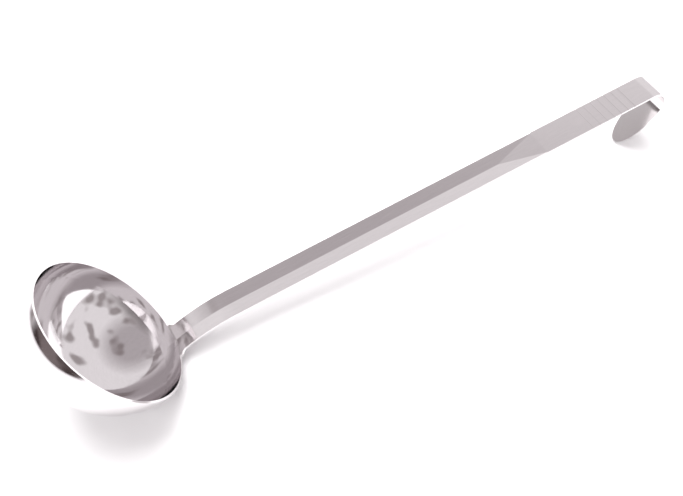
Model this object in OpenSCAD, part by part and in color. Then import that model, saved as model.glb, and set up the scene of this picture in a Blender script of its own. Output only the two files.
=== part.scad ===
// Soup ladle in polished stainless sheet: a deep round bowl, a long handle pressed to a
// shallow valley with a flat grip and a hanging hook, and the weld that joins the two.
// It lies as it does on a table, on the bowl's side and the tip of the hook.

/* [Bowl] */
// Diameter over the rim
rim_d = 90; // [75:1:110]
// Depth from the rim plane to the outside of the bottom
bowl_depth = 41; // [36:0.5:46]
// Outside radius of the curved side wall, below the rim
side_r = 31; // [26:0.5:33]
// Thickness of the drawn sheet
bowl_wall = 1.2; // [0.8:0.1:1.6]

/* [Handle] */
// Thickness of the handle strip
strip_t = 1.4; // [1:0.1:2]
// Width of the strip where it is pressed to a valley
valley_w = 16.8; // [14:0.2:20]
// Width of the strip where it is flat
flat_w = 17.5; // [14:0.2:21]
// Depth of the valley at its crease
valley_depth = 0.8; // [0.4:0.1:1.2]
// Radius of the bend that leads from the bowl wall into the handle
neck_r = 88; // [70:1:110]
// Angle of the strip above the rim plane where it leaves the bowl
neck_angle = 86; // [80:1:90]
// Angle of the straight handle above the rim plane
handle_angle = 61.5; // [50:0.5:70]
// Length of the straight handle, from the neck bend to the hook bend
straight_l = 274; // [240:1:320]
// Length along the straight where the valley starts to run out
runout_start = 172; // [140:1:190]
// Length over which the valley runs out to flat
runout_l = 28; // [15:1:30]
// Radius of the fillets between the handle's edges and the rim
flare_r = 3.5; // [2:0.5:5]

/* [Grip] */
// Number of grooves pressed across the grip
groove_count = 7; // [3:1:7]
// Distance from the hook bend to the nearest groove
groove_gap = 12.8; // [8:0.1:20]
// Spacing of the grooves
groove_pitch = 4.9; // [3.5:0.1:5.5]
// Radius of the tool that presses a groove
groove_r = 0.9; // [0.7:0.1:1.2]
// Depth of a groove
groove_depth = 0.25; // [0.1:0.05:0.4]

/* [Hook] */
// Outside radius of the hook bend
hook_r = 12.1; // [9:0.1:15]
// Angle through which the strip turns
hook_turn = 137.5; // [125:0.5:150]
// Length of the straight tail after the bend
tail_l = 28.6; // [26:0.1:34]
// Length of the rounded tip within the tail
tip_l = 24.2; // [16:0.1:25]

/* [Weld] */
// Height of the weld between the rim and the handle's foot
weld_h = 1.2; // [0.8:0.1:1.6]
// How far the bead stands out behind the neck
weld_bead = 0.5; // [0.2:0.1:0.8]

/* [Hidden] */
$fn = 96;
steel = "lightsteelblue";
slack = 1;
tip_over = 0.3;

rim_r = rim_d / 2;
inner_r = rim_r - bowl_wall;
// The bottom arc is centred on the bowl's axis and runs smoothly into the side arc
side_x = rim_r - side_r;
bottom_r = (side_x * side_x + bowl_depth * bowl_depth - side_r * side_r) / (2 * (bowl_depth - side_r));
bottom_z = bottom_r - bowl_depth;
joint_angle = atan2(bottom_z, side_x);

// Neck bend: its centre lies behind the handle
neck_x = inner_r + neck_r * sin(neck_angle);
neck_z = -neck_r * cos(neck_angle);
face_r = neck_r + valley_depth;
neck_dip = 4;
// The fillets stop short of a knife edge, so the foot keeps a blunt toe
toe_share = 0.6;
foot_w = valley_w + 2 * toe_share * flare_r;

// Ends of the straight, of the hook bend and of the tail, on the front face, as [x, z]
function along(p, angle, l) = [p[0] + l * cos(angle), p[1] + l * sin(angle)];
foot = along([neck_x, neck_z], handle_angle + 90, face_r);
bend = along(foot, handle_angle, straight_l);
hook_c = along(bend, handle_angle - 90, hook_r);
tail_angle = handle_angle - hook_turn;
tail = along(hook_c, tail_angle + 90, hook_r);
tip = along(tail, tail_angle, tail_l);
runout_end = runout_start + runout_l;

// The lying pose: the tilt puts the tip of the hook level with the lowest side of the bowl
function tilt_on(cx, cz, r) =
    atan2(tip[1] - cz, tip[0] - cx) + asin(r / norm([tip[0] - cx, tip[1] - cz]));
tilt_on_bottom = tilt_on(0, bottom_z, bottom_r);
on_bottom = 90 - tilt_on_bottom > joint_angle;
tilt = on_bottom ? tilt_on_bottom : tilt_on(side_x, 0, side_r);
lift = on_bottom ? bottom_r - bottom_z * cos(tilt) : side_r + side_x * sin(tilt);
low_x = bottom_z * sin(tilt) - bottom_r;
high_x = hook_c[0] * cos(tilt) + hook_c[1] * sin(tilt) + hook_r;
mid_x = (low_x + high_x) / 2;

// Turns the ladle from its level rim to the way it lies on a table
module lying() {
    translate([-mid_x, 0, lift]) rotate([0, tilt, 0]) children();
}

// A ring sector of the sheet between two angles below the horizontal
module wall_arc(r, from, to) {
    reach = 2 * r;
    intersection() {
        difference() {
            circle(r = r);
            circle(r = r - bowl_wall);
        }
        polygon([[0, 0], [reach * cos(from), -reach * sin(from)],
                 [reach * cos((from + to) / 2), -reach * sin((from + to) / 2)],
                 [reach * cos(to), -reach * sin(to)]]);
    }
}

// Deep drawn bowl: a bottom arc and a tighter side arc, turned about the bowl's axis
module bowl() {
    color(steel) lying() rotate_extrude($fn = 180) {
        translate([side_x, 0]) wall_arc(side_r, 0, joint_angle);
        translate([0, bottom_z]) wall_arc(bottom_r, joint_angle, 90);
    }
}

// Section of the pressed strip: y across, z up from the line of its front edges
module valley_section(w) {
    edge_z = valley_depth * (w / valley_w - 1);
    polygon([[-w / 2, edge_z], [0, -valley_depth], [w / 2, edge_z],
             [w / 2, edge_z - strip_t], [0, -valley_depth - strip_t], [-w / 2, edge_z - strip_t]]);
}

// Places children on the straight: x along the handle, z out of its front face
module on_straight() {
    translate([foot[0], 0, foot[1]]) rotate([0, -handle_angle, 0]) children();
}

// A prism along x with its section in y and z
module prism(l) {
    rotate([90, 0, 90]) linear_extrude(l) children();
}

// A plate across the strip with its outline in x and z
module cross_plate(w) {
    translate([0, w / 2, 0]) rotate([90, 0, 0]) linear_extrude(w) children();
}

// The bend above the rim, wider at its foot, where fillets run out into the rim
module neck() {
    fillet_z = weld_h + flare_r;
    top_z = foot[1] + slack;
    difference() {
        translate([neck_x, 0, neck_z]) rotate([90, 0, 0]) rotate([0, 0, handle_angle + 90])
            rotate_extrude(angle = neck_angle - handle_angle + neck_dip, $fn = 240)
                translate([face_r, 0]) rotate(-90) valley_section(foot_w);
        translate([0, -foot_w, -foot_w]) cube([2 * rim_r, 2 * foot_w, foot_w + weld_h]);
        for (side = [-1, 1]) {
            translate([0, side * (valley_w / 2 + flare_r), fillet_z]) rotate([0, 90, 0])
                cylinder(r = flare_r, h = 2 * rim_r);
            translate([0, side > 0 ? valley_w / 2 : -valley_w / 2 - foot_w, fillet_z])
                cube([2 * rim_r, foot_w, top_z]);
        }
    }
}

// The pressed valley, and the ramp on which its crease rises to the flat
module valley_strip() {
    ramp_low = -valley_depth;
    difference() {
        prism(runout_end) valley_section(valley_w);
        cross_plate(2 * valley_w)
            polygon([[runout_start, ramp_low - strip_t], [runout_end, -strip_t],
                     [runout_end + slack, -strip_t], [runout_end + slack, ramp_low - strip_t - slack],
                     [runout_start, ramp_low - strip_t - slack]]);
    }
    intersection() {
        cross_plate(valley_w)
            polygon([[runout_start, ramp_low], [runout_end, 0],
                     [runout_end, -strip_t], [runout_start, ramp_low - strip_t]]);
        translate([runout_start, 0, 0]) prism(runout_l)
            polygon([[-valley_w / 2, -strip_t], [0, -strip_t - valley_depth], [valley_w / 2, -strip_t],
                     [valley_w / 2, slack], [-valley_w / 2, slack]]);
    }
}

// Point of the hook bend, in x and z of the straight, at a radius and a share of the turn
function bend_at(r, share) =
    [straight_l + r * sin(hook_turn * share), -hook_r + r * cos(hook_turn * share)];

// Side outline of the grip, the hook bend and the tail: out along the front face, and
// back along the inside
module grip_outline() {
    back_r = hook_r - strip_t;
    steps = 44;
    polygon(concat([[runout_end, 0]],
        [for (i = [0:steps]) bend_at(hook_r, i / steps)],
        [along(bend_at(hook_r, 1), -hook_turn, tail_l), along(bend_at(back_r, 1), -hook_turn, tail_l)],
        [for (i = [steps:-1:0]) bend_at(back_r, i / steps)],
        [[runout_end, -strip_t]]));
}

// What is cut away around the rounded tip, in the plane of the tail. The round is a little
// wider than the strip, so it meets the strip's sides at a clear corner.
module tip_waste() {
    tip_start = tail_l - tip_l;
    round_w = flat_w / 2 + tip_over;
    difference() {
        translate([tip_start, -flat_w]) square([tip_l + slack, 2 * flat_w]);
        polygon(concat([[tip_start - slack, -round_w]],
            [for (a = [-90:7.5:90]) [tip_start + tip_l * cos(a), round_w * sin(a)]],
            [[tip_start - slack, round_w]]));
    }
}

// The flat grip with its row of pressed grooves, and the hook with its rounded tip
module grip() {
    difference() {
        cross_plate(flat_w) grip_outline();
        for (i = [0:groove_count - 1])
            translate([straight_l - groove_gap - i * groove_pitch, flat_w, groove_r - groove_depth])
                rotate([90, 0, 0]) cylinder(r = groove_r, h = 2 * flat_w, $fn = 32);
        translate([straight_l, 0, -hook_r]) rotate([0, hook_turn, 0])
            translate([0, 0, hook_r - strip_t - slack]) linear_extrude(strip_t + 2 * slack) tip_waste();
    }
}

// Handle: neck, valley, grip and hook in one pressed strip
module handle() {
    color(steel) lying() {
        neck();
        on_straight() {
            valley_strip();
            grip();
        }
    }
}

// Weld between the rim and the handle's foot, ground flush inside, a low bead behind
module neck_weld() {
    half_angle = asin(foot_w / 2 / rim_r);
    color("gainsboro") lying() rotate([0, 0, -half_angle])
        rotate_extrude(angle = 2 * half_angle, $fn = 180) {
            translate([inner_r, 0]) square([bowl_wall, weld_h]);
            intersection() {
                translate([rim_r, 0]) square([weld_bead, weld_h]);
                translate([rim_r + weld_bead - weld_h, weld_h / 2]) circle(r = weld_h, $fn = 48);
            }
        }
}

bowl();
handle();
neck_weld();
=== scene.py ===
import math

import bpy
from mathutils import Matrix, Vector


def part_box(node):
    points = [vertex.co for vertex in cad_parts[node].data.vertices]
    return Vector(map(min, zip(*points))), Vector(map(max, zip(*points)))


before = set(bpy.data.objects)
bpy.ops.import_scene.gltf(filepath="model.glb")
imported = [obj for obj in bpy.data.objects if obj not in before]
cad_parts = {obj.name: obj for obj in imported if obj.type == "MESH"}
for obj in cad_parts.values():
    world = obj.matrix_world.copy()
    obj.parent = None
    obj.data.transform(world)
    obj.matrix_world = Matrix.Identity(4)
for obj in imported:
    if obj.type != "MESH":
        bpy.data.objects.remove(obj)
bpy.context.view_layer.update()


# Bowl: a deep round cup drawn from stainless sheet and polished to a mirror inside and
# outside. Polishing leaves very faint fine marks, which run mostly in level bands, and
# the sheet carries soft smears of haze.
bowl_tint = (0.79, 0.765, 0.775, 1.0)
bowl_roughness = (0.045, 0.11)
bowl_marks_turn = (0.0, math.radians(-56.7), 0.0)
bowl_marks_stretch = (0.35, 0.35, 4.0)
fine_marks_depth = 0.00002


def steel_noise(nodes, links, vector, scale, detail):
    """A noise pattern laid over the steel, scale in cycles per metre."""
    noise = nodes.new("ShaderNodeTexNoise")
    noise.inputs["Scale"].default_value = scale
    noise.inputs["Detail"].default_value = detail
    links.new(vector, noise.inputs["Vector"])
    return noise.outputs["Fac"]


def polished_steel(name, tint, roughness, marks_turn, marks_stretch, marks_depth):
    """Mirror-polished stainless steel with fine marks drawn out one way, and soft smears."""
    mark_scale, mark_detail, mark_strength = 900.0, 3.0, 0.12
    smear_scale, smear_detail = 45.0, 2.0
    smear_low, smear_high = 0.35, 0.7
    shade_low, shade_high = 0.94, 1.04

    material = bpy.data.materials.new(name)
    material.use_nodes = True
    nodes, links = material.node_tree.nodes, material.node_tree.links
    shader = nodes["Principled BSDF"]
    shader.inputs["Metallic"].default_value = 1.0
    place = nodes.new("ShaderNodeTexCoord").outputs["Object"]
    turn = nodes.new("ShaderNodeMapping")
    turn.inputs["Rotation"].default_value = marks_turn
    turn.inputs["Scale"].default_value = marks_stretch
    links.new(place, turn.inputs["Vector"])
    marks = steel_noise(nodes, links, turn.outputs["Vector"], mark_scale, mark_detail)
    smears = steel_noise(nodes, links, place, smear_scale, smear_detail)

    dull = nodes.new("ShaderNodeMapRange")
    dull.inputs["From Min"].default_value = smear_low
    dull.inputs["From Max"].default_value = smear_high
    dull.inputs["To Min"].default_value = roughness[0]
    dull.inputs["To Max"].default_value = roughness[1]
    links.new(smears, dull.inputs["Value"])
    links.new(dull.outputs["Result"], shader.inputs["Roughness"])

    shade = nodes.new("ShaderNodeMapRange")
    shade.inputs["To Min"].default_value = shade_low
    shade.inputs["To Max"].default_value = shade_high
    links.new(marks, shade.inputs["Value"])
    colour = nodes.new("ShaderNodeVectorMath")
    colour.operation = "SCALE"
    colour.inputs[0].default_value = tint[:3]
    links.new(shade.outputs["Result"], colour.inputs["Scale"])
    links.new(colour.outputs["Vector"], shader.inputs["Base Color"])

    bump = nodes.new("ShaderNodeBump")
    bump.inputs["Strength"].default_value = mark_strength
    bump.inputs["Distance"].default_value = marks_depth
    links.new(marks, bump.inputs["Height"])
    links.new(bump.outputs["Normal"], shader.inputs["Normal"])
    return material


def finish_node(name, material):
    """Gives a carried-over piece its material."""
    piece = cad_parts[name]
    for slot in piece.material_slots:
        slot.material = material
    if not piece.material_slots:
        piece.data.materials.append(material)


finish_node("bowl", polished_steel("bowl_mirror_steel", bowl_tint, bowl_roughness,
                                   bowl_marks_turn, bowl_marks_stretch, fine_marks_depth))


# Handle: one strip of stainless sheet, pressed to a shallow valley, left flat at the grip
# with its row of grooves, and bent round into a hanging hook. It was polished lengthwise,
# so its faint marks run along the strip.
handle_tint = (0.80, 0.775, 0.78, 1.0)
handle_roughness = (0.06, 0.14)
unturned = (0.0, 0.0, 0.0)
handle_marks_stretch = (0.08, 1.6, 1.0)
finish_node("handle", polished_steel("handle_mirror_steel", handle_tint, handle_roughness,
                                     unturned, handle_marks_stretch, fine_marks_depth))


# Weld: the seam between the rim and the handle's foot, ground flush inside and left as a
# low bead behind. Grinding leaves it a little duller than the sheet, with deeper marks
# that run no one way.
weld_tint = (0.74, 0.725, 0.72, 1.0)
weld_roughness = (0.14, 0.26)
unstretched = (1.0, 1.0, 1.0)
ground_marks_depth = 0.00004
finish_node("neck_weld", polished_steel("ground_weld_steel", weld_tint, weld_roughness,
                                        unturned, unstretched, ground_marks_depth))


# Table: a plain pale top under the ladle, painted with a dull finish. The lowest point of
# the ladle's pieces gives its height.
table_z = min(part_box(name)[0][2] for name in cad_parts)
table_half = 3.0
table_tint = (0.93, 0.93, 0.935, 1.0)
table_roughness = 0.7
corners = [(-table_half, -table_half), (table_half, -table_half),
           (table_half, table_half), (-table_half, table_half)]
table_mesh = bpy.data.meshes.new("table_top")
table_mesh.from_pydata([(x, y, table_z) for x, y in corners], [], [(0, 1, 2, 3)])
table = bpy.data.objects.new("table_top", table_mesh)
bpy.context.collection.objects.link(table)
table_paint = bpy.data.materials.new("pale_table")
table_paint.use_nodes = True
paint = table_paint.node_tree.nodes["Principled BSDF"]
paint.inputs["Base Color"].default_value = table_tint
paint.inputs["Roughness"].default_value = table_roughness
table_mesh.materials.append(table_paint)


# Studio: pale all round and grey overhead, with a dim brown room on the bowl's side and
# soft brown patches, all of which the mirror finish shows.
pale_studio = (0.90, 0.865, 0.88, 1.0)
grey_ceiling = (0.50, 0.46, 0.475, 1.0)
ceiling_from, ceiling_full = 0.70, 0.93
brown_room, lit_brown = (0.060, 0.042, 0.042, 1.0), (0.22, 0.18, 0.18, 1.0)
room_side = (-0.85, -0.45, 0.05)
room_from, room_full = 0.35, 0.62
lit_from, lit_full = 0.40, 0.60
patch_scale, patch_detail = 2.6, 1.0
patch_from, patch_full = 0.56, 0.66
nothing, whole, most = (0.0, 0.0, 0.0, 1.0), (1.0, 1.0, 1.0, 1.0), (0.75, 0.75, 0.75, 1.0)
world = bpy.data.worlds.new("studio")
bpy.context.scene.world = world
world.use_nodes = True
sky_nodes, sky_links = world.node_tree.nodes, world.node_tree.links
background = sky_nodes["Background"]
background.inputs["Strength"].default_value = 1.0
direction = sky_nodes.new("ShaderNodeTexCoord").outputs["Generated"]


def studio_ramp(source, low, high, low_tone, high_tone):
    """A soft step from one tone of the studio to another."""
    ramp = sky_nodes.new("ShaderNodeValToRGB")
    stops = ramp.color_ramp.elements
    stops[0].position, stops[0].color = low, low_tone
    stops[1].position, stops[1].color = high, high_tone
    sky_links.new(source, ramp.inputs["Fac"])
    return ramp.outputs["Color"]


def studio_layer(share, under, over):
    """Lays one tone of the studio over another, by a share."""
    mix = sky_nodes.new("ShaderNodeMix")
    mix.data_type = "RGBA"
    colour_sockets = [socket for socket in mix.inputs if socket.type == "RGBA"]
    sky_links.new(share, mix.inputs["Factor"])
    sky_links.new(under, colour_sockets[0])
    sky_links.new(over, colour_sockets[1])
    return next(socket for socket in mix.outputs if socket.type == "RGBA")


height = sky_nodes.new("ShaderNodeSeparateXYZ")
sky_links.new(direction, height.inputs["Vector"])
dome = studio_ramp(height.outputs["Z"], ceiling_from, ceiling_full, pale_studio, grey_ceiling)

patches = sky_nodes.new("ShaderNodeTexNoise")
patches.inputs["Scale"].default_value = patch_scale
patches.inputs["Detail"].default_value = patch_detail
sky_links.new(direction, patches.inputs["Vector"])
patch_share = studio_ramp(patches.outputs["Fac"], patch_from, patch_full, nothing, most)

sideways = sky_nodes.new("ShaderNodeVectorMath")
sideways.operation = "DOT_PRODUCT"
sideways.inputs[1].default_value = room_side
sky_links.new(direction, sideways.inputs[0])
room_share = studio_ramp(sideways.outputs["Value"], room_from, room_full, nothing, whole)
room = studio_ramp(patches.outputs["Fac"], lit_from, lit_full, brown_room, lit_brown)
studio = studio_layer(room_share, studio_layer(patch_share, dome, room), room)
sky_links.new(studio, background.inputs["Color"])


# Panels: two square soft lights for the table and the ladle's shadow. They are kept out of
# the steel's reflections, which show the studio alone.
ladle_middle, bowl_end = Vector((0.0, 0.0, 0.0)), Vector((-0.1, 0.0, 0.0))


def soft_panel(name, place, aim, size, power):
    """A square soft light that faces a point of the ladle, power in watts."""
    lamp = bpy.data.lights.new(name, "AREA")
    lamp.size = size
    lamp.energy = power
    panel = bpy.data.objects.new(name, lamp)
    bpy.context.collection.objects.link(panel)
    panel.location = place
    panel.rotation_euler = (aim - Vector(place)).to_track_quat("-Z", "Y").to_euler()
    panel.visible_glossy = False


soft_panel("overhead_panel", (0.1, 0.5, 1.5), ladle_middle, 1.2, 30.0)
soft_panel("side_panel", (-1.0, -0.5, 1.1), bowl_end, 0.7, 9.0)


# Camera: above the near side of the ladle, looking down at it, rolled slightly.
camera_place = Vector((-0.1089, -0.2199, 0.3716))
camera_aim = Vector((-0.0184, 0.0133, 0.0))
camera_roll = math.radians(-7.08)
picture_width, focal_pixels, sensor = 683, 750.0, 36.0
near_limit = 0.01
camera_data = bpy.data.cameras.new("camera")
camera_data.sensor_width = sensor
camera_data.lens = sensor * focal_pixels / picture_width
camera_data.clip_start = near_limit
camera = bpy.data.objects.new("camera", camera_data)
bpy.context.collection.objects.link(camera)
facing = (camera_aim - camera_place).to_track_quat("-Z", "Y").to_matrix().to_4x4()
camera.matrix_world = Matrix.Translation(camera_place) @ facing @ Matrix.Rotation(camera_roll, 4, "Z")
bpy.context.scene.camera = camera
bpy.context.scene.view_settings.view_transform = "Standard"
